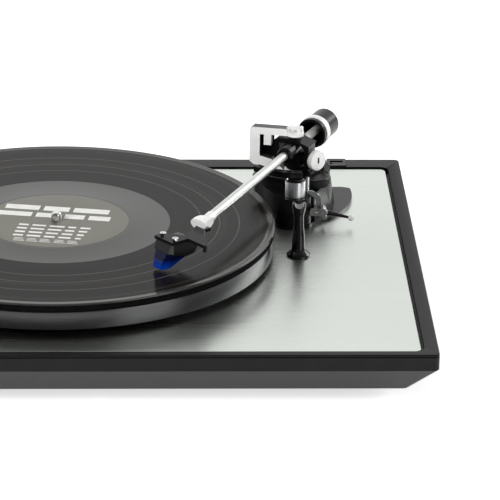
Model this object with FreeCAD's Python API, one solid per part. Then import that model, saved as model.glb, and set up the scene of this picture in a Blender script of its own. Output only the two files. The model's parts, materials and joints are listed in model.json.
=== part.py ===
import FreeCAD, Part
import math
import os

from FreeCAD import Vector

# A belt-driven turntable. Frame: +X right, +Y to the back, +Z up, millimetres,
# origin on the supporting surface under the middle of the plinth.

# ---------------------------------------------------------------- driving dimensions
PLINTH_W = 440.0
PLINTH_D = 366.0
FOOT_H = 12.0
BODY_H = 31.4
FACE_H = 11.2            # upright part of the plinth's edge
BEVEL_IN = 18.0          # how far the lower part slopes inwards
SIDE_RIM = 9.2
FRONT_RIM = 6.5
BACK_RIM = 16.5
PLATE_GAP = 2.3
PLATE_STEP = 1.0         # the plate lies this far below the rim
PLATE_T = 2.0
COVER_T = 3.0
DECK_T = 6.0

SPINDLE = (-30.2, 2.0)
RECORD_R = 150.8
PLATTER_R = 150.0
PLATTER_LIFT = 3.5       # air gap under the platter
PLATTER_H = 13.0
MAT_T = 4.0
RECORD_T = 1.8
LABEL_R = 50.0
SPINDLE_R = 3.6
SHAFT_R = 5.0
SUB_R = 61.0
PULLEY_R = 6.0
RUN_FIT = 0.05           # radial clearance of a running fit

PIVOT = (138.0, 90.0)
ARM_ANGLE = 24.7         # the tube's direction, from -Y towards -X
OFFSET_ANGLE = 26.6      # the headshell's further turn
TUBE_R = 3.15
TUBE_Z = 22.0            # tube axis above the record
PITCH_Z = 14.5           # horizontal bearing axis above the record
TUBE_END = 160.0
HEAD_AT = (-10.8, -195.9)
WEIGHT_FRONT = 31.0
LIFT_R = 36.0            # radius of the lift bar about the pivot
BRACKET_TURN = -12.0
MOTOR_AT = (-97.0, 69.0)
KNOB_AT = (-182.0, -146.0)
FOOT_AT = (160.0, 112.0)
BASE_H = 22.0            # deck of the arm base above the plate
CHEEK_X = 13.0           # right face of the arm's yoke
DIAL_FACE_R = 7.1
RING_FROM = 3.6
RING_TO = 9.4
HOLLOW_TO = 16.7         # the counterweight is hollowed from its front, which sets the arm's balance
HOLLOW_R = 8.3

# ---------------------------------------------------------------- derived levels
RIM_TOP = FOOT_H + BODY_H
PLATE_TOP = RIM_TOP - PLATE_STEP
DECK_TOP = PLATE_TOP - PLATE_T
CAVITY_TOP = DECK_TOP - DECK_T
COVER_TOP = FOOT_H + COVER_T
PLATTER_BOTTOM = PLATE_TOP + PLATTER_LIFT
PLATTER_TOP = PLATTER_BOTTOM + PLATTER_H
MAT_TOP = PLATTER_TOP + MAT_T
RECORD_TOP = MAT_TOP + RECORD_T
PLATE_ABOVE = PLATE_TOP - RECORD_TOP      # the plate's height in the arm's own frame
PLATE_X = PLINTH_W / 2 - SIDE_RIM - PLATE_GAP
PLATE_Y0 = -PLINTH_D / 2 + FRONT_RIM + PLATE_GAP
PLATE_Y1 = PLINTH_D / 2 - BACK_RIM - PLATE_GAP
WEB_BOTTOM = PLATTER_TOP - 5.0
DOWN = Vector(0, 0, -1)
UP = Vector(0, 0, 1)


# ---------------------------------------------------------------- plain shapes
def box(x0, x1, y0, y1, z0, z1):
    return Part.makeBox(x1 - x0, y1 - y0, z1 - z0, Vector(x0, y0, z0))


def disc(x, y, z0, z1, r):
    return Part.makeCylinder(r, z1 - z0, Vector(x, y, z0))


def ring(x, y, z0, z1, outer, inner):
    return disc(x, y, z0, z1, outer).cut(disc(x, y, z0 - 1, z1 + 1, inner))


def cone(x, y, z0, z1, r0, r1):
    return Part.makeCone(r0, r1, z1 - z0, Vector(x, y, z0))


def rod(start, end, r):
    a, b = Vector(*start), Vector(*end)
    return Part.makeCylinder(r, (b - a).Length, a, b - a)


def prism(points, z0, z1):
    wire = Part.makePolygon([Vector(x, y, z0) for x, y in points + points[:1]])
    return Part.Face(wire).extrude(Vector(0, 0, z1 - z0))


def side_profile(points, half_width):
    """A profile given as (forward, z), extruded across the width; forward is -Y."""
    wire = Part.makePolygon([Vector(-half_width, -f, z) for f, z in points + points[:1]])
    return Part.Face(wire).extrude(Vector(2 * half_width, 0, 0))


def turned(profile, x=0.0, y=0.0):
    """A profile of (radius, z) points turned about the vertical line at x, y."""
    wire = Part.makePolygon([Vector(r, 0, z) for r, z in profile + profile[:1]])
    solid = Part.Face(wire).revolve(Vector(0, 0, 0), UP, 360)
    solid.translate(Vector(x, y, 0))
    return solid


def turned_along(profile, z):
    """A profile of (radius, distance back) points turned about the arm's long axis."""
    wire = Part.makePolygon([Vector(r, d, 0) for r, d in profile + profile[:1]])
    solid = Part.Face(wire).revolve(Vector(0, 0, 0), Vector(0, 1, 0), 360)
    solid.translate(Vector(0, 0, z))
    return solid


def rounded_wire(x0, x1, y0, y1, r, z):
    k = r * (1 - math.sqrt(0.5))
    edges = [
        Part.LineSegment(Vector(x0 + r, y0, z), Vector(x1 - r, y0, z)),
        Part.Arc(Vector(x1 - r, y0, z), Vector(x1 - k, y0 + k, z), Vector(x1, y0 + r, z)),
        Part.LineSegment(Vector(x1, y0 + r, z), Vector(x1, y1 - r, z)),
        Part.Arc(Vector(x1, y1 - r, z), Vector(x1 - k, y1 - k, z), Vector(x1 - r, y1, z)),
        Part.LineSegment(Vector(x1 - r, y1, z), Vector(x0 + r, y1, z)),
        Part.Arc(Vector(x0 + r, y1, z), Vector(x0 + k, y1 - k, z), Vector(x0, y1 - r, z)),
        Part.LineSegment(Vector(x0, y1 - r, z), Vector(x0, y0 + r, z)),
        Part.Arc(Vector(x0, y0 + r, z), Vector(x0 + k, y0 + k, z), Vector(x0 + r, y0, z)),
    ]
    return Part.Wire([e.toShape() for e in edges])


def rounded_box(x0, x1, y0, y1, z0, z1, r):
    return Part.Face(rounded_wire(x0, x1, y0, y1, r, z0)).extrude(Vector(0, 0, z1 - z0))


def egg_wire(a, ra, b, rb, z):
    """The outline round two circles: their outer arcs and the two tangent lines."""
    turn = math.atan2(b[1] - a[1], b[0] - a[0])
    lean = math.acos((ra - rb) / math.hypot(b[0] - a[0], b[1] - a[1]))

    def at(c, r, angle):
        return Vector(c[0] + r * math.cos(angle), c[1] + r * math.sin(angle), z)

    a1, a2 = at(a, ra, turn + lean), at(a, ra, turn - lean)
    b1, b2 = at(b, rb, turn + lean), at(b, rb, turn - lean)
    edges = [
        Part.LineSegment(a1, b1),
        Part.Arc(b1, at(b, rb, turn), b2),
        Part.LineSegment(b2, a2),
        Part.Arc(a2, at(a, ra, turn + math.pi), a1),
    ]
    return Part.Wire([e.toShape() for e in edges])


def egg(a, ra, b, rb, z0, z1):
    return Part.Face(egg_wire(a, ra, b, rb, z0)).extrude(Vector(0, 0, z1 - z0))


def fuse(first, *others):
    solid = first
    for other in others:
        solid = solid.fuse(other)
    return solid.removeSplitter()


def cut(first, *others):
    solid = first
    for other in others:
        solid = solid.cut(other)
    return solid


def group(shapes):
    return Part.makeCompound(shapes)


def cap_screw(x, y, z_seat, head_r, head_h, shank_r, shank_l):
    """A socket-head screw whose head stands on z_seat, with its shank going down."""
    head = disc(x, y, z_seat, z_seat + head_h, head_r)
    shank = disc(x, y, z_seat - shank_l, z_seat, shank_r)
    socket = disc(x, y, z_seat + 0.45 * head_h, z_seat + head_h + 1, 0.5 * head_r)
    return fuse(head, shank).cut(socket)


# ---------------------------------------------------------------- frames of the arm
def in_arm(shape):
    """From the arm's frame (pivot at the origin, tube along -Y, z above the record)."""
    moved = shape.copy()
    moved.rotate(Vector(0, 0, 0), UP, -ARM_ANGLE)
    moved.translate(Vector(PIVOT[0], PIVOT[1], RECORD_TOP))
    return moved


def in_head(shape):
    """From the headshell's frame: cartridge forwards is -Y, origin between its screws."""
    moved = shape.copy()
    moved.rotate(Vector(0, 0, 0), UP, -OFFSET_ANGLE)
    moved.translate(Vector(HEAD_AT[0], HEAD_AT[1], 0))
    return in_arm(moved)


def in_base(shape):
    """From the arm base's frame: pivot at the origin, not turned, z above the record."""
    moved = shape.copy()
    moved.translate(Vector(PIVOT[0], PIVOT[1], RECORD_TOP))
    return moved


# ---------------------------------------------------------------- plinth
def plinth_frame():
    w, d = PLINTH_W / 2, PLINTH_D / 2
    face_bottom = RIM_TOP - FACE_H
    upper = rounded_box(-w, w, -d, d, face_bottom, RIM_TOP, 4.0)
    top_edges = [e for e in upper.Edges if abs(e.CenterOfMass.z - RIM_TOP) < 0.01]
    upper = upper.makeFillet(0.8, top_edges)
    wide = rounded_wire(-w, w, -d, d, 4.0, face_bottom)
    narrow = rounded_wire(-w + BEVEL_IN, w - BEVEL_IN, -d + BEVEL_IN, d - BEVEL_IN, 4.0, FOOT_H)
    body = fuse(upper, Part.makeLoft([narrow, wide], True, True))
    groove = rounded_box(-w - 1, w + 1, -d - 1, d + 1, RIM_TOP - 2.0, RIM_TOP - 1.2, 4.0).cut(
        rounded_box(-w + 0.8, w - 0.8, -d + 0.8, d - 0.8, RIM_TOP - 3, RIM_TOP, 3.4)
    )
    pocket = rounded_box(
        -w + SIDE_RIM, w - SIDE_RIM, -d + FRONT_RIM, d - BACK_RIM, DECK_TOP, RIM_TOP + 1, 6.5
    )
    cavity = rounded_box(-w + 32, w - 32, -d + 32, d - 32, FOOT_H - 1, CAVITY_TOP, 3.0)
    rabbet = rounded_box(-w + 26, w - 26, -d + 26, d - 26, FOOT_H - 1, COVER_TOP, 8.0)
    holes = [
        disc(SPINDLE[0], SPINDLE[1], CAVITY_TOP - 1, DECK_TOP + 1, 10.6),
        disc(MOTOR_AT[0], MOTOR_AT[1], CAVITY_TOP - 1, DECK_TOP + 1, 26.5),
        disc(PIVOT[0], PIVOT[1], CAVITY_TOP - 1, DECK_TOP + 1, 10.5),
        disc(KNOB_AT[0], KNOB_AT[1], CAVITY_TOP - 1, DECK_TOP + 1, 5.2),
        box(40, 150, d - 34, d + 1, FOOT_H + 4.5, FOOT_H + 19.0),
    ]
    holes += [disc(*place, CAVITY_TOP - 1, DECK_TOP + 1, 2.1) for place in bearing_screw_places()]
    sockets = [
        box(s * 173.5 - 7.2, s * 173.5 + 7.2, d - 15.2, d + 1, RIM_TOP - 14, RIM_TOP + 1) for s in (-1, 1)
    ]
    return cut(body, groove, pocket, cavity, rabbet, *holes, *sockets)


def cover_screw_places():
    return [(x, y) for x in (-190.5, 0.0, 190.5) for y in (-153.5, 153.5) if not (x == 0 and y > 0)]


def bottom_cover():
    w, d = PLINTH_W / 2 - 26.2, PLINTH_D / 2 - 26.2
    cover = rounded_box(-w, w, -d, d, FOOT_H, COVER_TOP, 7.8)
    holes = [disc(x, y, FOOT_H - 1, COVER_TOP + 1, 1.7) for x, y in cover_screw_places()]
    posts = [
        disc(x, y, COVER_TOP, COVER_TOP + 3.0, 3.0) for x in (66.0, 164.0) for y in (-114.0, -56.0)
    ]
    vents = [
        rounded_box(x - 2, x + 2, 60, 100, FOOT_H - 1, COVER_TOP + 1, 1.9) for x in range(-160, -119, 10)
    ]
    studs = [
        disc(sx * FOOT_AT[0], sy * FOOT_AT[1], FOOT_H - 1, COVER_TOP + 1, 3.05)
        for sx in (-1, 1) for sy in (-1, 1)
    ]
    return cut(fuse(cover, *posts), *holes, *vents, *studs)


def cover_screws():
    screws = []
    for x, y in cover_screw_places():
        shank = disc(x, y, FOOT_H, FOOT_H + 3.0, 1.6)
        head = disc(x, y, FOOT_H - 1.4, FOOT_H, 3.0)
        cross = box(x - 1.8, x + 1.8, y - 0.3, y + 0.3, FOOT_H - 2, FOOT_H - 0.7)
        screws.append(fuse(shank, head).cut(cross))
    return group(screws)


def top_plate():
    plate = rounded_box(-PLATE_X, PLATE_X, PLATE_Y0, PLATE_Y1, DECK_TOP, PLATE_TOP, 4.5)
    return cut(
        plate,
        disc(SPINDLE[0], SPINDLE[1], DECK_TOP - 1, PLATE_TOP + 1, 29.0),
        disc(MOTOR_AT[0], MOTOR_AT[1], DECK_TOP - 1, PLATE_TOP + 1, 26.5),
        disc(PIVOT[0], PIVOT[1], DECK_TOP - 1, PLATE_TOP + 1, 10.5),
        disc(KNOB_AT[0], KNOB_AT[1], DECK_TOP - 1, PLATE_TOP + 1, 5.2),
    )


def at_feet(make):
    return group([make(sx * FOOT_AT[0], sy * FOOT_AT[1]) for sx in (-1, 1) for sy in (-1, 1)])


def foot_cup(x, y):
    profile = [(0, 3.0), (16.2, 3.0), (16.2, 2.0), (19.0, 2.0), (20.0, 4.0), (20.0, FOOT_H), (3.0, FOOT_H)]
    return turned(profile + [(3.0, COVER_TOP + 3.0), (0, COVER_TOP + 3.0)], x, y)


def foot_pad(x, y):
    return turned([(0, 0), (14.6, 0), (15.6, 0.8), (16.0, 2.9), (16.0, 3.0), (0, 3.0)], x, y)


def hinge_socket(x):
    d = PLINTH_D / 2
    block = rounded_box(x - 7.0, x + 7.0, d - 15.0, d, RIM_TOP - 14.0, RIM_TOP + 0.6, 1.2)
    slot = box(x - 5.0, x + 4.6, d - 8.2, d - 4.8, RIM_TOP - 10.0, RIM_TOP + 2)
    dimple = disc(x - 4.2, d - 11.0, RIM_TOP - 1.0, RIM_TOP + 2, 1.2)
    return cut(block, slot, dimple)


# ---------------------------------------------------------------- rear connections
PANEL_Y = PLINTH_D / 2 - 26.0
JACK_Z = FOOT_H + 11.0
PHONO_X = (58.0, 74.0)
GROUND_X = 92.0
POWER_X = 128.0


def socket_panel():
    panel = box(41.0, 149.0, PANEL_Y, PANEL_Y + 1.5, FOOT_H + 4.7, FOOT_H + 18.8)
    holes = [rod((x, PANEL_Y - 1, JACK_Z), (x, PANEL_Y + 3, JACK_Z), 3.7) for x in PHONO_X]
    holes.append(rod((GROUND_X, PANEL_Y - 1, JACK_Z), (GROUND_X, PANEL_Y + 3, JACK_Z), 2.0))
    holes.append(rod((POWER_X, PANEL_Y - 1, JACK_Z), (POWER_X, PANEL_Y + 3, JACK_Z), 3.9))
    return cut(panel, *holes)


def phono_socket(x):
    y = PANEL_Y
    body = fuse(
        rod((x, y - 9, JACK_Z), (x, y + 10.0, JACK_Z), 3.6),
        rod((x, y + 1.5, JACK_Z), (x, y + 10.0, JACK_Z), 4.15),
        rod((x, y + 1.5, JACK_Z), (x, y + 3.2, JACK_Z), 5.6),
    )
    return body.cut(rod((x, y + 2.0, JACK_Z), (x, y + 11, JACK_Z), 1.65))


def ground_terminal():
    x, y = GROUND_X, PANEL_Y
    knob = rod((x, y + 3.0, JACK_Z), (x, y + 9.0, JACK_Z), 4.2)
    for k in range(12):
        a = math.radians(30 * k)
        cx, cz = x + 4.3 * math.cos(a), JACK_Z + 4.3 * math.sin(a)
        knob = knob.cut(rod((cx, y + 2, cz), (cx, y + 10, cz), 0.45))
    return fuse(
        rod((x, y - 6, JACK_Z), (x, y + 9.8, JACK_Z), 1.95),
        rod((x, y + 1.5, JACK_Z), (x, y + 3.0, JACK_Z), 3.2),
        knob,
    )


def power_inlet():
    x, y = POWER_X, PANEL_Y
    body = fuse(
        box(x - 4.5, x + 4.5, y - 12, y - 0.1, JACK_Z - 4.5, JACK_Z + 4.5),
        rod((x, y - 0.1, JACK_Z), (x, y + 3.0, JACK_Z), 3.8),
        rod((x, y + 1.5, JACK_Z), (x, y + 3.0, JACK_Z), 5.2),
    )
    pin = rod((x, y - 7, JACK_Z), (x, y + 2.0, JACK_Z), 1.05)
    return body.cut(rod((x, y - 7, JACK_Z), (x, y + 4, JACK_Z), 2.8)).fuse(pin)


# ---------------------------------------------------------------- main bearing and drive
def bearing_housing():
    x, y = SPINDLE
    body = fuse(
        disc(x, y, FOOT_H + 4.5, PLATTER_BOTTOM - 0.3, 10.0), disc(x, y, DECK_TOP, DECK_TOP + 3.0, 27.0)
    )
    well = disc(x, y, FOOT_H + 7.0, PLATTER_BOTTOM + 1, 7.5)
    holes = [disc(*place, DECK_TOP - 1, DECK_TOP + 4, 2.1) for place in bearing_screw_places()]
    return cut(body, well, *holes)


def bearing_screw_places():
    x, y = SPINDLE
    return [
        (x + 20 * math.cos(math.radians(a)), y + 20 * math.sin(math.radians(a))) for a in (90, 210, 330)
    ]


def bearing_bushes():
    x, y = SPINDLE
    bore = SHAFT_R + RUN_FIT
    return group([ring(x, y, z, z + 9.0, 7.5, bore) for z in (FOOT_H + 12.0, PLATTER_BOTTOM - 9.8)])


def thrust_ball():
    ball = Part.makeSphere(2.5, Vector(SPINDLE[0], SPINDLE[1], FOOT_H + 9.5))
    return ball


def spindle_shaft():
    tip = RECORD_TOP + 6.6
    profile = [
        (0, FOOT_H + 12.05), (4.6, FOOT_H + 12.05), (SHAFT_R, FOOT_H + 12.6),
        (SHAFT_R, WEB_BOTTOM), (SPINDLE_R, WEB_BOTTOM), (SPINDLE_R, tip - 2.0),
        (3.1, tip - 0.9), (2.0, tip - 0.2), (0, tip),
    ]
    return turned(profile, *SPINDLE)


def sub_platter():
    low = PLATTER_BOTTOM + 0.4
    profile = [
        (SHAFT_R, low), (14.0, low), (16.0, low + 2.0), (55.0, low + 2.0), (55.0, low),
        (SUB_R, low), (SUB_R, WEB_BOTTOM), (SHAFT_R, WEB_BOTTOM),
    ]
    return turned(profile, *SPINDLE)


def outer_platter():
    low, top = PLATTER_BOTTOM, PLATTER_TOP
    profile = [
        (SPINDLE_R, WEB_BOTTOM), (137.0, WEB_BOTTOM), (137.0, low), (PLATTER_R - 0.8, low),
        (PLATTER_R, low + 0.8), (PLATTER_R, top - 0.6), (PLATTER_R - 0.6, top), (SPINDLE_R, top),
    ]
    return turned(profile, *SPINDLE)


def platter_mat():
    profile = [
        (SPINDLE_R + 0.2, PLATTER_TOP), (RECORD_R - 0.8, PLATTER_TOP), (RECORD_R - 0.3, PLATTER_TOP + 0.5),
        (RECORD_R - 0.3, MAT_TOP - 0.4), (RECORD_R - 0.7, MAT_TOP), (SPINDLE_R + 0.2, MAT_TOP),
    ]
    return turned(profile, *SPINDLE)


def record_disc():
    groove_top = RECORD_TOP - 0.25
    profile = [
        (SPINDLE_R + 0.05, MAT_TOP), (RECORD_R - 0.7, MAT_TOP), (RECORD_R, MAT_TOP + 0.8),
        (RECORD_R - 0.5, RECORD_TOP - 0.05), (RECORD_R - 1.6, RECORD_TOP), (RECORD_R - 3.6, groove_top),
        (LABEL_R + 4.0, groove_top), (LABEL_R + 1.0, RECORD_TOP - 0.1), (LABEL_R + 0.1, RECORD_TOP - 0.1),
        (LABEL_R + 0.1, RECORD_TOP - 0.2), (SPINDLE_R + 0.05, RECORD_TOP - 0.2),
    ]
    return turned(profile, *SPINDLE)


def record_label():
    return ring(*SPINDLE, RECORD_TOP - 0.2, RECORD_TOP, LABEL_R, SPINDLE_R + 0.1)


def motor_can():
    x, y = MOTOR_AT
    shell = disc(x, y, FOOT_H + 6.5, PLATE_TOP, 25.0).cut(disc(x, y, FOOT_H + 7.7, PLATE_TOP - 1.2, 23.6))
    lower = disc(x, y, FOOT_H + 7.7, FOOT_H + 10.5, 4.0)
    upper = disc(x, y, PLATE_TOP - 4.0, PLATE_TOP, 4.0)
    return fuse(shell, lower, upper).cut(disc(x, y, FOOT_H + 8.2, PLATE_TOP + 1, 1.5 + RUN_FIT))


def motor_stator():
    return ring(*MOTOR_AT, FOOT_H + 12.5, PLATE_TOP - 5.0, 23.6, 14.5)


def motor_magnet():
    return ring(*MOTOR_AT, FOOT_H + 13.5, PLATE_TOP - 6.0, 13.5, 1.5)


def motor_shaft():
    return disc(*MOTOR_AT, FOOT_H + 8.4, WEB_BOTTOM - 0.5, 1.5)


def motor_pulley():
    x, y = MOTOR_AT
    low = PLATTER_BOTTOM + 1.0
    profile = [
        (1.5, low - 1.2), (4.0, low - 1.2), (4.0, low), (8.2, low), (8.2, low + 0.5),
        (PULLEY_R, low + 0.7), (PULLEY_R, WEB_BOTTOM - 0.9), (7.2, WEB_BOTTOM - 0.8),
        (7.2, WEB_BOTTOM - 0.6), (1.5, WEB_BOTTOM - 0.6),
    ]
    return turned(profile, x, y)


def motor_screw_places():
    x, y = MOTOR_AT
    return [(x + sx * 24.5, y + sy * 19.0) for sx in (-1, 1) for sy in (-1, 1)]


def motor_mount():
    x, y = MOTOR_AT
    plate = rounded_box(x - 30, x + 30, y - 25, y + 25, PLATE_TOP, PLATE_TOP + 1.5, 6.0)
    holes = [disc(*place, PLATE_TOP - 1, PLATE_TOP + 3, 1.6) for place in motor_screw_places()]
    return cut(plate, disc(x, y, PLATE_TOP - 1, PLATE_TOP + 3, 3.0), *holes)


def motor_screws():
    seat = PLATE_TOP + 1.5
    return group([cap_screw(*place, seat, 2.7, 1.8, 1.55, 1.5) for place in motor_screw_places()])


def drive_belt():
    z0, z1 = PLATTER_BOTTOM + 2.0, WEB_BOTTOM - 1.2
    outer = egg(SPINDLE, SUB_R + 0.75, MOTOR_AT, PULLEY_R + 0.75, z0, z1)
    inner = egg(SPINDLE, SUB_R + 0.15, MOTOR_AT, PULLEY_R + 0.15, z0 - 1, z1 + 1)
    return outer.cut(inner)


# ---------------------------------------------------------------- electronics and control
BOARD = (60.0, 170.0, -120.0, -50.0)


def control_board():
    z = COVER_TOP + 3.0
    board = box(BOARD[0], BOARD[1], BOARD[2], BOARD[3], z, z + 1.6)
    holes = [disc(x, y, z - 1, z + 3, 1.6) for x in (66.0, 164.0) for y in (-114.0, -56.0)]
    return cut(board, *holes)


def board_parts():
    z = COVER_TOP + 4.6
    caps = [disc(x, -104.0, z, z + 10.0, 4.0) for x in (80.0, 92.0, 104.0)]
    chips = [box(x, x + 10, -82, -72, z, z + 1.8) for x in (84.0, 108.0)]
    terminal = box(130.0, 156.0, -68.0, -60.0, z, z + 8.0)
    fins = [box(132.0 + 4 * k, 133.4 + 4 * k, -106.0, -88.0, z + 1.5, z + 11.0) for k in range(6)]
    sink = fuse(box(132.0, 153.4, -106.0, -88.0, z, z + 1.5), *fins)
    return group(caps + chips + [terminal, sink])


def selector_switch():
    x, y = KNOB_AT
    body = rounded_box(x - 4.9, x + 9, y - 3.9, y + 9, CAVITY_TOP - 11, CAVITY_TOP, 2.4)
    bush = disc(x, y, CAVITY_TOP, DECK_TOP, 5.0)
    return fuse(body, bush).cut(disc(x, y, CAVITY_TOP - 6, DECK_TOP + 1, 3.0 + RUN_FIT))


def selector_knob():
    x, y = KNOB_AT
    low = PLATE_TOP + 0.5
    cap = turned([(0, low), (11.5, low), (11.5, low + 7.6), (10.8, low + 8.4), (0, low + 8.4)], x, y)
    line = box(x - 0.4, x + 0.4, y - 10.5, y - 3, low + 8.0, low + 9)
    return fuse(cap, disc(x, y, CAVITY_TOP - 5.5, low, 3.0)).cut(line)


# ---------------------------------------------------------------- arm base
LOBE = (-1.7, -37.0)     # centre of the front lobe, from the pivot
CORE_R = 20.2
WALL_R = (21.0, 25.4)
WALL_TOP = 6.2
SKATE_AT = (12.6, -15.0)
SKATE_R = 12.0


WEB_FROM = 15.7          # upright web behind the bracket's window, distances left of the pivot
WEB_TO = 27.5
WEB_BACK = (4.1, 5.6)
WEB_HEIGHT = 30.9


def window_web():
    """The thin upright web that closes the bracket's window from behind, clear of the turning yoke."""
    web = box(-WEB_TO, -WEB_FROM, WEB_BACK[0], WEB_BACK[1], PLATE_ABOVE + BASE_H - 0.5, WEB_HEIGHT)
    web.rotate(Vector(0, 0, 0), UP, BRACKET_TURN)
    return web


def arm_base():
    foot = PLATE_ABOVE
    sole = egg((-1.0, 2.0), 29.5, (-2.2, -36.0), 14.0, foot, foot + 2.5)
    wing = prism(
        [(0.0, 31.0), (36.0, 31.0), (41.5, 28.8), (43.0, 24.0), (43.0, -10.0), (27.2, -27.5), (5.5, -45.5)],
        foot, foot + 2.5,
    )
    wing = wing.common(disc(-29.0, 18.0, foot - 1, foot + 3, 71.6))
    flange = fuse(sole, wing)
    low = egg_wire((-1.0, 1.0), 30.0, (-2.2, -36.0), 13.6, foot + 2.5)
    deck = egg_wire((-2.0, 0.0), 28.0, LOBE, 11.6, foot + BASE_H)
    housing = Part.makeLoft([low, deck], True, True)
    wall = ring(0, 0, foot + BASE_H - 0.5, WALL_TOP, WALL_R[1], WALL_R[0])
    wall = wall.cut(disc(*SKATE_AT, -0.3, WALL_TOP + 1, SKATE_R + 0.6))
    seat = disc(0, 0, foot + BASE_H - 0.5, 0.4, 6.4)
    to_spindle = (SPINDLE[0] - PIVOT[0], SPINDLE[1] - PIVOT[1])
    clear = disc(*to_spindle, foot - 1, foot + BASE_H + 3, RECORD_R + 9.5)
    wires = disc(0, 0, foot - 1, foot + BASE_H - 2, 9.0)
    lever_room = box(10.0, 40.0, -60.0, -36.5, foot + 2.5, 2.0)
    skate_bore = disc(*SKATE_AT, -8.0, 1.0, 2.5 + RUN_FIT)
    solid = fuse(flange, housing, wall, seat, window_web())
    body = cut(solid, clear, wires, lever_room, skate_bore, lever_bracket_shape())
    return in_base(body)


def bracket_points():
    """The bracket's outline in its own plane: distance left of the pivot, height."""
    outer = [
        (0.0, 33.8), (5.0, 33.8), (5.0, 36.4), (29.8, 36.4), (32.2, 34.0), (32.2, 10.8), (29.4, 8.4),
        (13.0, 5.6), (9.0, 0.4),
    ]
    inner = [(0.0, 0.4), (0.0, 5.4), (7.6, 5.4), (8.6, 7.0), (12.6, 9.4), (15.8, 12.9), (24.8, 15.2)]
    tab = [(24.8, 31.2), (22.0, 31.2), (22.0, 23.4), (16.6, 23.4), (16.6, 31.2), (0.0, 31.2)]
    return outer + inner + tab


def gimbal_bracket():
    half = 3.8
    points = [Vector(-u, -half, z) for u, z in bracket_points()]
    body = Part.Face(Part.makePolygon(points + points[:1])).extrude(Vector(0, 2 * half, 0))
    ends = [disc(0, 0, 31.2, 33.8, 6.2), disc(0, 0, 0.4, 5.4, 6.4)]
    body = fuse(body, *ends).cut(ring(0, 0, 33.8, 38.0, 6.4, 0.5))
    body = cut(body, disc(0, 0, 30, 32.9, 1.5 + RUN_FIT), disc(0, 0, -1, 6, 4.0))
    body.rotate(Vector(0, 0, 0), UP, BRACKET_TURN)
    return in_base(body)


NUT_Z = 33.8


def lower_bearing_cup():
    return in_base(ring(0, 0, 0.4, 5.0, 4.0, 1.5 + RUN_FIT))


def bearing_nut():
    nut = disc(0, 0, NUT_Z, NUT_Z + 3.1, 5.9)
    for k in range(8):
        slot = box(3.6, 7.0, -0.9, 0.9, NUT_Z + 1.2, NUT_Z + 4)
        slot.rotate(Vector(0, 0, 0), UP, 45.0 * k)
        nut = nut.cut(slot)
    stud = disc(0, 0, NUT_Z, NUT_Z + 3.6, 2.4).cut(box(-3, 3, -0.35, 0.35, NUT_Z + 2.9, NUT_Z + 4))
    return in_base(fuse(nut, stud))


def arm_rest_post():
    x, y = -1.4, -97.0
    foot = PLATE_ABOVE
    profile = [
        (0, foot), (8.0, foot), (8.2, foot + 0.4), (8.2, foot + 1.6),
        (6.4, foot + 3.2), (5.0, foot + 4.2), (4.6, foot + 6.5),
        (4.5, foot + 13.0), (3.5, foot + 22.0), (3.3, foot + 27.0), (3.7, foot + 31.0), (4.4, foot + 33.2),
        (4.4, foot + 34.2), (0, foot + 34.2),
    ]
    post = turned(profile, x, y)
    crown = turned(
        [
            (0, foot + 34.2), (4.4, foot + 34.2), (4.8, foot + 36.0), (4.8, foot + 38.2), (4.4, foot + 38.8),
            (0, foot + 38.8),
        ],
        x, y,
    )
    seat = rod((x, y - 6, foot + 39.4), (x, y + 6, foot + 39.4), TUBE_R + 0.2)
    return in_base(fuse(post, crown.cut(seat)))


# ---------------------------------------------------------------- cueing lift
LIFT_AT = (-1.2, -38.0)
HUB_AT = (17.8, -42.0, -11.0)
LEVER_DROP = 13.0
LEVER_L = 21.0
BAR_TOP = TUBE_Z - TUBE_R - 2.15


def lift_cylinder():
    shell = disc(*LIFT_AT, -0.3, 10.7, 7.2)
    lip = ring(*LIFT_AT, 9.9, 11.0, 7.2, 6.3)
    well = disc(*LIFT_AT, 2.0, 12.0, 5.3 + RUN_FIT)
    return in_base(fuse(shell, lip).cut(well))


def lift_bar():
    """The piston and the curved bar that it carries, an arc about the arm's pivot."""
    top = BAR_TOP
    arc = ring(0, 0, top - 4.0, top, LIFT_R + 2.6, LIFT_R - 2.6)
    a0, a1, far = math.radians(-95.5 - 46.0), math.radians(-84.5), 60.0
    wedge = prism(
        [
            (0, 0), (far * math.cos(a0), far * math.sin(a0)), (-10.0, -far),
            (far * math.cos(a1), far * math.sin(a1)),
        ],
        top - 5, top + 1,
    )
    arm_part = arc.common(wedge)
    piston = disc(*LIFT_AT, 3.0, top - 4.0, 5.3)
    return in_base(fuse(arm_part, piston))


def lift_guide_rod():
    return in_base(disc(7.7, -34.5, -0.3, 12.0, 1.0))


def lever_bracket_shape():
    x, y, z = HUB_AT
    cx, cz = x - 9.0, z + 5.6
    plate = rod((cx, y + 3.2, cz), (cx, y + 4.4, cz), 8.8)
    plate = plate.cut(rod((cx, y + 3, cz), (cx, y + 5, cz), 5.0))
    plate = plate.cut(box(cx - 12, cx - 1.6, y + 2, y + 6, z - 8, z + 18))
    bar = box(cx - 1.6, x + 3.0, y + 3.2, y + 4.4, z - 4.6, z - 2.2)
    ear = rod((x, y + 3.2, z), (x, y + 4.4, z), 3.4)
    pin = rod((x, y - 2.9, z), (x, y + 3.2, z), 1.2)
    screw = rod((x + 2.0, y + 0.6, z - 5.0), (x + 2.0, y + 6.6, z - 5.0), 1.6)
    stay = box(cx - 1.6, cx + 1.0, y + 4.4, y + 9.0, z - 4.6, z + 2.0)
    return fuse(plate, bar, ear, pin, screw, stay)


def lever_bracket():
    return in_base(lever_bracket_shape())


def lever_point(distance):
    x, y, z = HUB_AT
    a = math.radians(LEVER_DROP)
    return (x + distance * math.cos(a), y, z - distance * math.sin(a))


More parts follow.
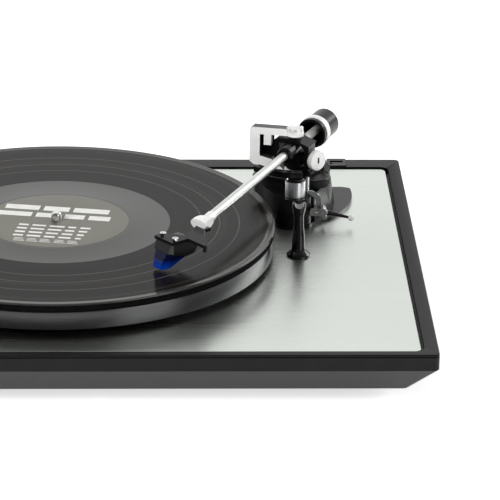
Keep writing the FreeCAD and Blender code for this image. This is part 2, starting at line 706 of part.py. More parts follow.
def cue_lever():
    x, y, z = HUB_AT
    hub = rod((x, y - 2.6, z), (x, y + 2.6, z), 3.1)
    start, end = Vector(*lever_point(1.5)), Vector(*lever_point(LEVER_L - 2.0))
    stick = Part.makeCone(1.9, 0.9, (end - start).Length, start, end - start)
    bore = rod((x, y - 4, z), (x, y + 4, z), 1.2 + RUN_FIT)
    return in_base(fuse(hub, stick).cut(bore))


def lever_tip():
    ball = Part.makeSphere(2.3, Vector(*lever_point(LEVER_L)))
    start, end = lever_point(LEVER_L - 4.0), lever_point(LEVER_L - 2.0)
    return in_base(ball.cut(rod(start, end, 1.2)))


def antiskate_dial():
    x, y = SKATE_AT
    low, top = 0.2, WALL_TOP
    knob = turned([(0, low), (SKATE_R, low), (SKATE_R, top - 0.6), (SKATE_R - 0.6, top), (0, top)], x, y)
    for k in range(36):
        a = math.radians(10.0 * k)
        reach = SKATE_R + 0.2
        rib = disc(x + reach * math.cos(a), y + reach * math.sin(a), low + 0.8, top + 1, 0.55)
        knob = knob.cut(rib)
    mark = box(x - 0.4, x + 0.4, y - 10.5, y - 5.5, top - 0.3, top + 1)
    return in_base(fuse(knob, disc(x, y, -7.0, low, 2.5)).cut(mark))


# ---------------------------------------------------------------- tonearm
DIAL_TURN = 24.3         # the force dial's face, turned forwards of the arm's right side
DIAL_BACK = (15.1, -0.1)
DIAL_Z = PITCH_Z + 0.4
DIAL_GAP = 0.35
DIAL_THICK = 4.2


def dial_point(distance):
    """A point on the force dial's axis, outwards from the middle of its back."""
    a = math.radians(DIAL_TURN)
    return (DIAL_BACK[0] + distance * math.cos(a), DIAL_BACK[1] - distance * math.sin(a), DIAL_Z)


def yaw_frame():
    outline = [
        (-13.6, 12.6), (-13.6, 27.6), (-12.0, 29.2), (3.0, 29.2), (CHEEK_X, 25.6), (CHEEK_X, 6.8),
        (0.0, 6.8), (0.0, 9.6), (9.8, 9.6), (9.8, 22.0), (6.4, 26.1), (-9.8, 26.1), (-9.8, 12.6),
    ]
    wire = Part.makePolygon([Vector(x, -6.0, z) for x, z in outline + outline[:1]])
    body = Part.Face(wire).extrude(Vector(0, 12.0, 0))
    tail = prism([(-2.0, 6.0), (CHEEK_X, 6.0), (CHEEK_X, 9.0), (3.0, 9.0)], 25.6, 40.0).common(
        Part.Face(wire).extrude(Vector(0, 20.0, 0))
    )
    boss = disc(0, 0, 29.2, 29.8, 4.5)
    dial_boss = rod(dial_point(-3.5), dial_point(-0.3), 4.4).cut(box(-20, CHEEK_X - 1.0, -9, 9, 0, 30))
    stud = rod(dial_point(-3.0), dial_point(3.0), 1.5)
    dial_room = rod(dial_point(-DIAL_GAP), dial_point(DIAL_THICK), DIAL_FACE_R + 0.8)
    body = fuse(fuse(body, tail, boss, disc(0, 0, 6.8, 9.6, 6.0), dial_boss).cut(dial_room), stud)
    pitch_hole = rod((-20, 0, PITCH_Z), (CHEEK_X - 1.2, 0, PITCH_Z), 1.6)
    return in_arm(cut(body, pitch_hole, disc(0, 0, 6, 10, 1.5), disc(0, 0, 26, 30, 1.5)))


def yaw_pivots():
    upper = fuse(disc(0, 0, 26.1, 31.6, 1.5), cone(0, 0, 31.6, 32.8, 1.5, 0.3))
    lower = fuse(disc(0, 0, 2.6, 9.6, 1.5), cone(0, 0, 1.4, 2.6, 0.3, 1.5))
    return in_arm(group([upper, lower]))


def pitch_pivots():
    left = fuse(
        rod((-13.6, 0, PITCH_Z), (-7.0, 0, PITCH_Z), 1.6),
        rod((-14.4, 0, PITCH_Z), (-13.6, 0, PITCH_Z), 2.6),
    )
    right = rod((7.0, 0, PITCH_Z), (CHEEK_X - 1.2, 0, PITCH_Z), 1.6)
    return in_arm(group([left, right]))


def arm_block():
    column = disc(0, 0, 10.6, 20.4, 7.4)
    cross = rod((-9.4, 0, PITCH_Z), (9.4, 0, PITCH_Z), 4.0)
    saddle = box(-5.6, 5.6, -11.0, 10.0, 17.0, 25.4)
    sleeve = turned_along([(0, -21.0), (4.9, -21.0), (5.9, -19.6), (5.9, -7.5), (0, -7.5)], TUBE_Z)
    socket = turned_along([(0, 8.0), (5.2, 8.0), (5.2, 14.0), (4.4, 15.0), (0, 15.0)], TUBE_Z - 1.9)
    body = fuse(column, cross, saddle, sleeve, socket)
    tube_bore = rod((0, -6.0, TUBE_Z), (0, -30.0, TUBE_Z), TUBE_R)
    stub_bore = rod((0, 8.0, TUBE_Z), (0, 20.0, TUBE_Z), 3.0)
    pins = rod((-20, 0, PITCH_Z), (20, 0, PITCH_Z), 1.6 + RUN_FIT)
    relief = box(-7.0, 7.0, 7.0, 20.0, 25.3, 30.0)
    return in_arm(cut(body, tube_bore, stub_bore, pins, relief))


def arm_tube():
    outer = rod((0, -6.0, TUBE_Z), (0, -TUBE_END, TUBE_Z), TUBE_R)
    return in_arm(outer.cut(rod((0, -5.0, TUBE_Z), (0, -TUBE_END - 1, TUBE_Z), TUBE_R - 0.6)))


COLLAR_FLAT = 0.46       # the collar's height over its width at the mouth


def collar_front():
    """What the collar lacks: the space ahead of its slanting mouth and to the right of its flat side."""
    block = fuse(box(-60, 60, -60, 28.0, -20, 60), box(4.2, 60, 20.0, 60, -20, 60))
    block.rotate(Vector(0, 0, 0), UP, -OFFSET_ANGLE)
    block.translate(Vector(HEAD_AT[0], HEAD_AT[1], 0))
    return block


def tube_collar():
    bell = turned_along(
        [
            (0, -153.5), (3.6, -153.5), (5.0, -156.0), (8.0, -159.5), (8.5, -162.0), (8.5, -184.0),
            (0, -184.0),
        ],
        0.0,
    )
    flatten = FreeCAD.Matrix()
    flatten.scale(1.0, 1.0, COLLAR_FLAT)
    bell = bell.transformGeometry(flatten)
    bell.translate(Vector(0, 0, TUBE_Z))
    sleeve = rod((0, -150.0, TUBE_Z), (0, -161.0, TUBE_Z), TUBE_R + 0.45)
    bell = fuse(bell, sleeve).cut(rod((0, -140.0, TUBE_Z), (0, -TUBE_END, TUBE_Z), TUBE_R))
    neck_slot = prism([(-5.5, 33.0), (3.6, 33.0), (3.6, 20.0), (-5.5, 20.0)], 18.8, 21.0)
    neck_slot.rotate(Vector(0, 0, 0), UP, -OFFSET_ANGLE)
    neck_slot.translate(Vector(HEAD_AT[0], HEAD_AT[1], 0))
    flat = box(4.3, 30, -200, -150, 0, 40)
    return in_arm(cut(bell, collar_front(), neck_slot, flat))


def headshell():
    plate = prism(
        [
            (-5.5, 33.0), (3.6, 33.0), (3.6, 28.0), (25.4, 11.4), (26.8, 9.6), (26.4, 8.6), (9.3, 8.6),
            (9.3, -5.0), (-9.3, -5.0), (-9.3, 2.8), (-1.5, 7.6), (3.3, 10.4), (-5.3, 28.0),
        ],
        18.8, 21.0,
    )
    finger = prism([(25.0, 11.8), (26.8, 9.6), (26.4, 8.6), (24.6, 8.6), (24.2, 10.6)], 16.2, 21.0)
    holes = [disc(x, 0, 18, 22, 1.3) for x in (-6.35, 6.35)]
    return in_head(cut(fuse(plate, finger), *holes))


def cartridge_screws():
    return in_head(group([cap_screw(x, 0, 21.0, 2.1, 1.7, 1.25, 6.0) for x in (-6.35, 6.35)]))


def cartridge_body():
    body = side_profile(
        [
            (4.8, 18.8), (7.0, 12.8), (-8.0, 8.2), (-15.0, 9.2), (-17.5, 12.6), (-17.5, 17.2), (-14.0, 18.8),
        ],
        8.4,
    )
    plan = prism([(-8.4, 18), (-8.4, -3), (-6.6, -9), (6.6, -9), (8.4, -3), (8.4, 18)], 5, 20)
    holes = [disc(x, 0, 14.8, 20, 1.25) for x in (-6.35, 6.35)]
    pins = [rod((x, 17.5, z), (x, 22.5, z), 0.6) for x in (-2.6, 2.6) for z in (13.2, 16.2)]
    return in_head(group([cut(body.common(plan), *holes)] + pins))


def stylus_unit():
    body = side_profile(
        [
            (7.0, 12.8), (8.8, 8.6), (10.6, 3.4), (10.3, 1.4), (7.6, 1.4), (3.0, 2.9), (-8.0, 7.4),
            (-8.0, 8.2),
        ],
        6.8,
    )
    plan = prism([(-6.8, 12), (-6.8, -5), (-3.4, -11.0), (3.4, -11.0), (6.8, -5), (6.8, 12)], 0, 20)
    slot = side_profile([(-2.5, 0.0), (9.4, 0.0), (9.4, 2.6), (2.0, 5.4), (-2.5, 6.6)], 1.5)
    return in_head(body.common(plan).cut(slot))


def stylus_cantilever():
    beam = rod((0, 2.4, 5.6), (0, -8.4, 1.2), 0.35)
    tip = cone(0, -8.2, 0.3, 1.3, 0.08, 0.4)
    return in_head(fuse(beam, tip))


def rear_stub():
    return in_arm(rod((0, 8.0, TUBE_Z), (0, WEIGHT_FRONT + 24.0, TUBE_Z), 3.0))


def counterweight_body():
    f, bore = WEIGHT_FRONT, 3.0 + RUN_FIT
    profile = [
        (bore, f + HOLLOW_TO), (HOLLOW_R, f + HOLLOW_TO), (HOLLOW_R, f + 2.6), (8.9, f + 2.6),
        (8.9, f), (10.5, f), (10.9, f + 0.4), (10.9, f + RING_FROM),
        (9.3, f + RING_FROM), (9.3, f + RING_TO), (10.6, f + RING_TO), (10.6, f + 27.0), (9.8, f + 27.8),
        (bore, f + 27.8),
    ]
    return in_arm(turned_along(profile, TUBE_Z))


def counterweight_ring():
    f, g = WEIGHT_FRONT + RING_FROM, WEIGHT_FRONT + RING_TO
    profile = [(9.3, f), (11.1, f), (11.5, f + 0.4), (11.5, g - 0.4), (11.1, g), (9.3, g)]
    return in_arm(turned_along(profile, TUBE_Z))


def force_dial():
    dial = rod(dial_point(0), dial_point(DIAL_THICK), DIAL_FACE_R)
    a = math.radians(DIAL_TURN)
    for k in range(24):
        b = math.radians(15 * k)
        side, up = (DIAL_FACE_R + 0.2) * math.cos(b), (DIAL_FACE_R + 0.2) * math.sin(b)
        shift = Vector(side * math.sin(a), side * math.cos(a), up)
        start, end = Vector(*dial_point(-1)) + shift, Vector(*dial_point(DIAL_THICK - 1.2)) + shift
        dial = dial.cut(rod(tuple(start), tuple(end), 0.5))
    pointer = box(-0.3, 1, -0.8, 0.8, -1.9, 2.5)
    pointer.rotate(Vector(0, 0, 0), UP, -DIAL_TURN)
    pointer.translate(Vector(*dial_point(DIAL_THICK)))
    bore = rod(dial_point(-1), dial_point(3.3), 1.5 + RUN_FIT)
    return in_arm(cut(dial, pointer, bore))


# ---------------------------------------------------------------- the nodes
NODES = {
    "plinth_frame": plinth_frame,
    "bottom_cover": bottom_cover,
    "cover_screws": cover_screws,
    "top_plate": top_plate,
    "foot_cups": lambda: at_feet(foot_cup),
    "foot_pads": lambda: at_feet(foot_pad),
    "hinge_sockets": lambda: group([hinge_socket(x) for x in (-173.5, 173.5)]),
    "socket_panel": socket_panel,
    "phono_sockets": lambda: group([phono_socket(x) for x in PHONO_X]),
    "ground_terminal": ground_terminal,
    "power_inlet": power_inlet,
    "bearing_housing": bearing_housing,
    "bearing_screws": lambda: group(
        [cap_screw(*p, DECK_TOP + 3.0, 3.4, 2.2, 2.05, 7.0) for p in bearing_screw_places()]
    ),
    "bearing_bushes": bearing_bushes,
    "thrust_ball": thrust_ball,
    "spindle_shaft": spindle_shaft,
    "sub_platter": sub_platter,
    "outer_platter": outer_platter,
    "platter_mat": platter_mat,
    "record_disc": record_disc,
    "record_label": record_label,
    "motor_can": motor_can,
    "motor_stator": motor_stator,
    "motor_magnet": motor_magnet,
    "motor_shaft": motor_shaft,
    "motor_pulley": motor_pulley,
    "motor_mount": motor_mount,
    "motor_screws": motor_screws,
    "drive_belt": drive_belt,
    "control_board": control_board,
    "board_parts": board_parts,
    "selector_switch": selector_switch,
    "selector_knob": selector_knob,
    "arm_base": arm_base,
    "gimbal_bracket": gimbal_bracket,
    "lower_bearing_cup": lower_bearing_cup,
    "bearing_nut": bearing_nut,
    "arm_rest_post": arm_rest_post,
    "lift_cylinder": lift_cylinder,
    "lift_bar": lift_bar,
    "lift_guide_rod": lift_guide_rod,
    "lever_bracket": lever_bracket,
    "cue_lever": cue_lever,
    "lever_tip": lever_tip,
    "antiskate_dial": antiskate_dial,
    "yaw_frame": yaw_frame,
    "yaw_pivots": yaw_pivots,
    "pitch_pivots": pitch_pivots,
    "arm_block": arm_block,
    "arm_tube": arm_tube,
    "tube_collar": tube_collar,
    "headshell": headshell,
    "cartridge_screws": cartridge_screws,
    "cartridge_body": cartridge_body,
    "stylus_unit": stylus_unit,
    "stylus_cantilever": stylus_cantilever,
    "rear_stub": rear_stub,
    "counterweight_body": counterweight_body,
    "counterweight_ring": counterweight_ring,
    "force_dial": force_dial,
}


def main():
    os.makedirs("parts", exist_ok=True)
    for name, make in NODES.items():
        shape = make()
        if not shape.isValid():
            print("not valid:", name)
        shape.exportStep("parts/" + name + ".step")
        print(name, len(shape.Solids), round(shape.Volume / 1000.0, 2), "cm3")


main()
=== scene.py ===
import json
import math

import bmesh
import bpy
from mathutils import Matrix, Vector

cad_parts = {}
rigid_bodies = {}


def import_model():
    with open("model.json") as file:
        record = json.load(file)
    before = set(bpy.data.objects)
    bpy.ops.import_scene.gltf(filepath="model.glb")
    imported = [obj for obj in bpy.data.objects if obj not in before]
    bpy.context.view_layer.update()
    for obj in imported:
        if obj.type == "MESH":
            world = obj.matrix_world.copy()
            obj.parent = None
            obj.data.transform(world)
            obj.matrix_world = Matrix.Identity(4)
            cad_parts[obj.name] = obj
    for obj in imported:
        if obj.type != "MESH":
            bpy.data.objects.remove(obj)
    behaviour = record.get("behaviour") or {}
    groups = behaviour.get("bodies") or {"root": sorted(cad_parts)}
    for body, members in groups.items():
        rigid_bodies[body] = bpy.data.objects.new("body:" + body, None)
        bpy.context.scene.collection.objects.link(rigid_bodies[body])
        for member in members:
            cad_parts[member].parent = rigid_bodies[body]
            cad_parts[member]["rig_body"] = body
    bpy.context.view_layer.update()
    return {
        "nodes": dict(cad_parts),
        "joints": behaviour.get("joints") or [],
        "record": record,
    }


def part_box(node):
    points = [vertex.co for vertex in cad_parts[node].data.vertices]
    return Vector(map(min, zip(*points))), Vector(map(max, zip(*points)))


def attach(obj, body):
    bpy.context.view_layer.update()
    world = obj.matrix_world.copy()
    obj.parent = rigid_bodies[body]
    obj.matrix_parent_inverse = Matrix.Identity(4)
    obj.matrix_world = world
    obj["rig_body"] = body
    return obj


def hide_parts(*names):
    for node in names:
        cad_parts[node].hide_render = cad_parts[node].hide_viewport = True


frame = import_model()
scene = bpy.context.scene
scene.view_settings.view_transform = "Standard"

# ---------------------------------------------------------------- places: some from the frame, the rest given here
RECORD_LOW, RECORD_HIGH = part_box("record_disc")
SPINDLE = (RECORD_LOW + RECORD_HIGH) / 2
RECORD_TOP = RECORD_HIGH.z
JOINTS = {j["name"]: j for j in frame["joints"]}
PIVOT = Vector(JOINTS["arm_swing"]["pos_m"])
RUNOUT_R = 78.3          # mm, where the grooves end
LEADIN_R = 145.6         # mm, where they start
BRACKET_TURN = math.radians(-12.0)
TRACK_GAPS = (100.0, 112.5, 126.0)    # mm, their radii
GAP_HALF = 0.55          # mm, half of a track gap's width
SHAFT_R = 5.0            # mm, the bearing's shaft
LABEL_TURN = math.radians(-10.3)
PRESS_R = 17.5           # mm, the ring pressed into the label
HUB_R = 0.0042           # m, the cueing lever's hub
DIAL_SLOT_R = 0.0042     # m, the pointer's slot in the force dial
BRACKET_EYE_R = 0.0072   # m, the round eye about the arm's pivot
MM = 1000.0              # millimetres in a metre
NODES = frame["nodes"]
BODY_OF = {name: node["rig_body"] for name, node in NODES.items()}

IN_PLATTER = Matrix.Translation((SPINDLE.x, SPINDLE.y, RECORD_TOP)) @ Matrix.Scale(1 / MM, 4)


# ---------------------------------------------------------------- shaders
class Shader:
    """A Principled material and the few nodes that give it grain, tone and bump."""

    def __init__(self, name, colour, roughness, metallic=0.0, **constants):
        self.material = bpy.data.materials.new(name)
        self.material.use_nodes = True
        self.tree = self.material.node_tree
        self.bsdf = self.tree.nodes["Principled BSDF"]
        self.set("Base Color", (*colour, 1.0))
        self.set("Roughness", roughness)
        self.set("Metallic", metallic)
        for key, value in constants.items():
            self.set(key.replace("_", " "), value)
        self.coords = self.node("ShaderNodeTexCoord").outputs["Object"]

    def set(self, socket, value):
        self.bsdf.inputs[socket].default_value = value

    def node(self, kind, **settings):
        made = self.tree.nodes.new(kind)
        for key, value in settings.items():
            setattr(made, key, value)
        return made

    def link(self, output, target):
        self.tree.links.new(output, target)

    def math(self, operation, a, b=0.0):
        made = self.node("ShaderNodeMath", operation=operation)
        for socket, value in ((made.inputs[0], a), (made.inputs[1], b)):
            if isinstance(value, (int, float)):
                socket.default_value = value
            else:
                self.link(value, socket)
        return made.outputs[0]

    def noise(self, scale, stretch=(1.0, 1.0, 1.0), detail=3.0, vector=None):
        mapping = self.node("ShaderNodeMapping")
        mapping.inputs["Scale"].default_value = stretch
        self.link(vector or self.coords, mapping.inputs["Vector"])
        made = self.node("ShaderNodeTexNoise")
        made.inputs["Scale"].default_value = scale
        made.inputs["Detail"].default_value = detail
        self.link(mapping.outputs[0], made.inputs["Vector"])
        return made.outputs["Fac"]

    def ranged(self, value, low, high, start=0.3, end=0.7):
        made = self.node("ShaderNodeMapRange")
        for key, number in (("From Min", start), ("From Max", end), ("To Min", low), ("To Max", high)):
            made.inputs[key].default_value = number
        self.link(value, made.inputs["Value"])
        return made.outputs[0]

    def tone(self, value, dark, light, start=0.3, end=0.7):
        ramp = self.node("ShaderNodeValToRGB")
        ramp.color_ramp.elements[0].position = start
        ramp.color_ramp.elements[0].color = (*dark, 1.0)
        ramp.color_ramp.elements[1].position = end
        ramp.color_ramp.elements[1].color = (*light, 1.0)
        self.link(value, ramp.inputs[0])
        return ramp.outputs[0]

    def colour_from(self, output):
        self.link(output, self.bsdf.inputs["Base Color"])

    def rough_from(self, output):
        self.link(output, self.bsdf.inputs["Roughness"])

    def bump(self, height, distance):
        made = self.node("ShaderNodeBump")
        made.inputs["Distance"].default_value = distance
        self.link(height, made.inputs["Height"])
        self.link(made.outputs[0], self.bsdf.inputs["Normal"])

    def turned_tangent(self):
        """Lets the gloss follow rings about a vertical axis."""
        tangent = self.node("ShaderNodeTangent", direction_type="RADIAL", axis="Z")
        self.link(tangent.outputs[0], self.bsdf.inputs["Tangent"])

    def radius(self, centre):
        """Distance from a vertical axis, in millimetres."""
        shift = self.node("ShaderNodeVectorMath", operation="SUBTRACT")
        shift.inputs[1].default_value = centre
        self.link(self.coords, shift.inputs[0])
        flat = self.node("ShaderNodeVectorMath", operation="MULTIPLY")
        flat.inputs[1].default_value = (MM, MM, 0.0)
        self.link(shift.outputs[0], flat.inputs[0])
        length = self.node("ShaderNodeVectorMath", operation="LENGTH")
        self.link(flat.outputs[0], length.inputs[0])
        return length.outputs["Value"]


def plain(name, colour, roughness, metallic=0.0, grain=900.0, spread=0.12, depth=0.00001, **constants):
    """A finish with fine grain: its tone, gloss and relief all vary a little with the same noise."""
    made = Shader(name, colour, roughness, metallic, **constants)
    fine = made.noise(grain)
    broad = made.noise(grain / 14.0, detail=2.0)
    low = tuple(c * (1 - spread) for c in colour)
    high = tuple(min(1.0, c * (1 + spread)) for c in colour)
    made.colour_from(made.tone(broad, low, high))
    made.rough_from(made.ranged(fine, roughness * 0.88, roughness * 1.12))
    made.bump(fine, depth)
    return made.material


def brushed_plate():
    made = Shader("brushed_plate", (0.74, 0.77, 0.73), 0.30, 1.0, Anisotropic=0.5)
    hair = made.noise(1.0, (9.0, 2600.0, 60.0), 4.0)
    cloud = made.noise(5.0, (0.6, 1.6, 1.0), 2.0)
    streak = made.math("ADD", made.math("MULTIPLY", hair, 0.7), made.math("MULTIPLY", cloud, 0.3))
    made.colour_from(made.tone(streak, (0.69, 0.725, 0.685), (0.77, 0.805, 0.76), 0.25, 0.75))
    made.rough_from(made.ranged(hair, 0.25, 0.37))
    made.bump(hair, 0.000006)
    return made.material


def vinyl_grooved():
    """Cut vinyl: fine rings, broken by the smooth spaces between tracks, painted slightly paler as painted
    sheen.
    """
    made = Shader("vinyl_grooved", (0.012, 0.010, 0.009), 0.28, Anisotropic=0.6, Anisotropic_Rotation=0.25)
    made.set("Specular IOR Level", 0.066)
    radius = made.radius(SPINDLE)
    vector = made.node("ShaderNodeCombineXYZ")
    made.link(radius, vector.inputs[0])
    fine = made.noise(3.1, (1, 1, 1), 5.0, vector.outputs[0])
    bands = made.noise(0.16, (1, 1, 1), 2.0, vector.outputs[0])
    cut = made.math("LESS_THAN", radius, LEADIN_R)
    for gap in TRACK_GAPS:
        away = made.math("ABSOLUTE", made.math("SUBTRACT", radius, gap))
        cut = made.math("MULTIPLY", cut, made.math("GREATER_THAN", away, GAP_HALF))
    rough = made.math("ADD", made.math("MULTIPLY", cut, 0.08), made.math("MULTIPLY", bands, 0.07))
    made.rough_from(made.math("ADD", rough, 0.05))
    # Painted sheen: the smooth spaces between tracks are painted paler in the colour.
    gap_sheen = made.math("MULTIPLY", made.math("SUBTRACT", 1.0, cut), 0.9)
    level = made.math("ADD", bands, gap_sheen)
    made.colour_from(made.tone(level, (0.0075, 0.0062, 0.0055), (0.062, 0.057, 0.051), 0.55, 1.0))
    relief = made.math("ADD", made.math("MULTIPLY", fine, 0.3), 1.0)
    made.bump(made.math("MULTIPLY", relief, cut), 0.000022)
    made.turned_tangent()
    return made.material


def vinyl_smooth():
    made = Shader("vinyl_smooth", (0.030, 0.031, 0.028), 0.20, Anisotropic=0.5, Anisotropic_Rotation=0.25)
    made.set("Specular IOR Level", 0.42)
    vector = made.node("ShaderNodeCombineXYZ")
    made.link(made.radius(SPINDLE), vector.inputs[0])
    rings = made.noise(0.9, (1, 1, 1), 4.0, vector.outputs[0])
    made.rough_from(made.ranged(rings, 0.10, 0.18))
    made.colour_from(made.tone(rings, (0.026, 0.027, 0.024), (0.036, 0.037, 0.033)))
    made.bump(rings, 0.000012)
    made.turned_tangent()
    return made.material


def turned_metal(name, colour, roughness, centre, pitch=2.2, depth=0.00001):
    """Metal with the fine rings that a lathe leaves about a vertical axis."""
    made = Shader(name, colour, roughness, 1.0, Anisotropic=0.9, Anisotropic_Rotation=0.25)
    made.turned_tangent()
    radius = made.radius(centre)
    split = made.node("ShaderNodeSeparateXYZ")
    made.link(made.coords, split.inputs[0])
    height = made.math("MULTIPLY", split.outputs[2], MM)
    vector = made.node("ShaderNodeCombineXYZ")
    made.link(radius, vector.inputs[0])
    made.link(height, vector.inputs[1])
    rings = made.noise(pitch, (1, 1, 1), 4.0, vector.outputs[0])
    made.rough_from(made.ranged(rings, roughness * 0.85, roughness * 1.15))
    dark = tuple(c * 0.92 for c in colour)
    light = tuple(min(1.0, c * 1.06) for c in colour)
    made.colour_from(made.tone(rings, dark, light))
    made.bump(rings, depth)
    return made.material


def label_paper():
    made = Shader("label_paper", (0.145, 0.14, 0.112), 0.5)
    fibre = made.noise(1800.0, (1, 1, 1), 5.0)
    radius = made.radius(SPINDLE)
    away = made.math("ABSOLUTE", made.math("SUBTRACT", radius, PRESS_R))
    press = made.math("LESS_THAN", away, 0.5)
    made.colour_from(made.tone(fibre, (0.13, 0.126, 0.10), (0.165, 0.16, 0.13)))
    made.rough_from(made.ranged(fibre, 0.34, 0.5))
    made.bump(made.math("SUBTRACT", made.math("MULTIPLY", fibre, 0.15), press), 0.00006)
    return made.material


def felt():
    made = Shader("felt", (0.003, 0.003, 0.003), 0.95, 0.0, Specular_IOR_Level=0.1)
    fibre = made.noise(2400.0, (1, 1, 1), 6.0)
    clump = made.noise(420.0, (1, 1, 1), 3.0)
    made.colour_from(made.tone(clump, (0.002, 0.002, 0.002), (0.005, 0.005, 0.005)))
    made.bump(fibre, 0.00018)
    return made.material


def clear_blue():
    """Clear blue plastic with painted shade: darker towards the top, where the cartridge body covers it.
    """
    made = Shader("clear_blue", (0.003, 0.03, 0.34), 0.12, 0.0, Transmission_Weight=0.30, IOR=1.42)
    low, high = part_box("stylus_unit")
    split = made.node("ShaderNodeSeparateXYZ")
    made.link(made.coords, split.inputs[0])
    cloud = made.noise(160.0, (1, 1, 1), 2.0)
    painted_shade_rise = made.ranged(split.outputs[2], 0.0, 1.0, low.z, high.z)
    level = made.math("ADD", painted_shade_rise, made.math("MULTIPLY", cloud, 0.2))
    # Painted shade: the colour runs from bright blue at the bottom to near black at the top.
    made.colour_from(made.tone(level, (0.002, 0.060, 0.52), (0.001, 0.003, 0.030), 0.05, 0.70))
    made.rough_from(made.ranged(cloud, 0.10, 0.18))
    return made.material


def circuit_board():
    made = Shader("circuit_board", (0.01, 0.12, 0.04), 0.35)
    tracks = made.node("ShaderNodeTexBrick")
    made.link(made.coords, tracks.inputs["Vector"])
    tracks.inputs["Scale"].default_value = 90.0
    tracks.inputs["Color1"].default_value = (0.01, 0.12, 0.04, 1)
    tracks.inputs["Color2"].default_value = (0.012, 0.15, 0.05, 1)
    tracks.inputs["Mortar"].default_value = (0.03, 0.22, 0.09, 1)
    made.colour_from(tracks.outputs["Color"])
    made.bump(tracks.outputs["Fac"], 0.00004)
    return made.material


M = {
    "plinth_black": plain(
        "plinth_lacquer", (0.0042, 0.0043, 0.0040), 0.36, 0, 1500.0, 0.2,
        depth=0.00003, Specular_IOR_Level=0.17,
    ),
    "cover_board": plain("cover_board", (0.03, 0.03, 0.03), 0.7, 0, 500.0, 0.3),
    "screw_steel": plain("screw_steel", (0.60, 0.60, 0.60), 0.25, 1.0, 2500.0),
    "plate_aluminium": brushed_plate(),
    "black_plastic": plain(
        "black_plastic", (0.0045, 0.0045, 0.0045), 0.24, 0, 2600.0, 0.2,
        depth=0.000012, Specular_IOR_Level=0.24,
    ),
    "foot_rubber": plain("foot_rubber", (0.018, 0.018, 0.018), 0.8, 0, 1400.0, 0.3, depth=0.00004),
    "panel_steel": plain("panel_steel", (0.05, 0.05, 0.05), 0.45, 0.4, 1600.0),
    "gold_contact": plain("gold_contact", (0.80, 0.55, 0.20), 0.22, 1.0, 2000.0),
    "bearing_aluminium": plain("bearing_aluminium", (0.70, 0.70, 0.70), 0.35, 1.0, 1800.0),
    "bronze": plain("bronze", (0.50, 0.33, 0.16), 0.4, 1.0, 1800.0),
    "bright_steel": plain("bright_steel", (0.80, 0.80, 0.80), 0.10, 1.0, 3000.0, 0.04, depth=0.000003),
    "sub_platter_black": plain("sub_platter_black", (0.02, 0.02, 0.02), 0.45, 0, 1500.0),
    "platter_metal": turned_metal("platter_metal", (0.12, 0.12, 0.122), 0.30, SPINDLE),
    "mat_felt": felt(),
    "record_vinyl": vinyl_grooved(),
    "label_paper": label_paper(),
    "motor_steel": plain("motor_steel", (0.45, 0.45, 0.46), 0.35, 1.0, 1800.0),
    "motor_core": plain("motor_core", (0.10, 0.09, 0.08), 0.5, 0.7, 1200.0),
    "belt_rubber": plain("belt_rubber", (0.015, 0.015, 0.015), 0.6, 0, 1500.0),
    "board_green": circuit_board(),
    "board_components": plain("board_components", (0.03, 0.03, 0.035), 0.4, 0, 1500.0),
    "knob_black": plain("knob_black", (0.005, 0.005, 0.005), 0.24, 0, 2400.0, 0.2, depth=0.00001),
    "satin_silver": plain("satin_silver", (0.90, 0.90, 0.885), 0.34, 0.35, 2800.0, 0.04, depth=0.000005),
    "gimbal_black": plain(
        "gimbal_black", (0.005, 0.005, 0.005), 0.22, 0, 2400.0, 0.2,
        depth=0.00001, Specular_IOR_Level=0.22,
    ),
    "post_gloss": plain("post_gloss", (0.003, 0.003, 0.003), 0.05, 0, 1200.0, 0.2, depth=0.000002),
    "weight_black": plain(
        "weight_black", (0.0045, 0.0045, 0.0045), 0.22, 0.0, 2400.0, 0.2,
        Specular_IOR_Level=0.24,
    ),
    "lever_ball": plain("lever_ball", (0.82, 0.82, 0.81), 0.20, 0.3, 1500.0, 0.03, depth=0.000003),
    "headshell_grey": plain(
        "headshell_grey", (0.006, 0.006, 0.0063), 0.18, 0.0, 2200.0, 0.15,
        Specular_IOR_Level=0.09,
    ),
    "cartridge_black": plain("cartridge_black", (0.005, 0.005, 0.005), 0.18, 0, 2400.0, 0.2),
    "stylus_blue": clear_blue(),
    "cantilever_metal": plain("cantilever_metal", (0.7, 0.7, 0.72), 0.25, 1.0, 3000.0),
}
PRINT = plain("label_print", (0.80, 0.80, 0.76), 0.5, 0, 1800.0, 0.06)
RUNOUT = vinyl_smooth()
TUBE = plain("tube_aluminium", (0.66, 0.68, 0.655), 0.30, 0.85, 2800.0, 0.04, depth=0.000004)
# Painted light and shade: one bracket metal, split into a lit near-white copy for the faces to front and
# back and a shaded dark copy for the rest.
BRACKET_PAINTED_SHADE = plain("bracket_painted_shade", (0.050, 0.047, 0.043), 0.38, 0.2, 2400.0, 0.15)
BRACKET_PAINTED_LIGHT = plain("bracket_painted_light", (0.93, 0.93, 0.91), 0.42, 0.08, 2800.0, 0.03, depth=0.000004)
LIFT_LOW, LIFT_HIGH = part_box("lift_cylinder")
LIFT_STEEL = turned_metal("lift_steel", (0.66, 0.67, 0.69), 0.30, (LIFT_LOW + LIFT_HIGH) / 2)
DIAL_MARK = plain("dial_mark", (0.01, 0.01, 0.01), 0.4, 0, 1500.0, 0.1)

SLOT_OF = {part["node"]: part["material_slot"] for part in frame["record"]["subparts"]}


# ---------------------------------------------------------------- mesh helpers
def fillet(points, radius, steps=5):
    """Rounds the corners of a closed outline."""
    made, count = [], len(points)
    for i, point in enumerate(points):
        p, a, b = Vector(point), Vector(points[i - 1]), Vector(points[(i + 1) % count])
        u, v = (a - p), (b - p)
        reach_limit = 0.48 * min(u.length, v.length)
        u.normalize()
        v.normalize()
        half = 0.5 * u.angle(v)
        reach = min(radius / math.tan(half), reach_limit)
        start, end = p + u * reach, p + v * reach
        for k in range(steps + 1):
            t = k / steps
            made.append(tuple(start.lerp(p, t).lerp(p.lerp(end, t), t)))
    return made


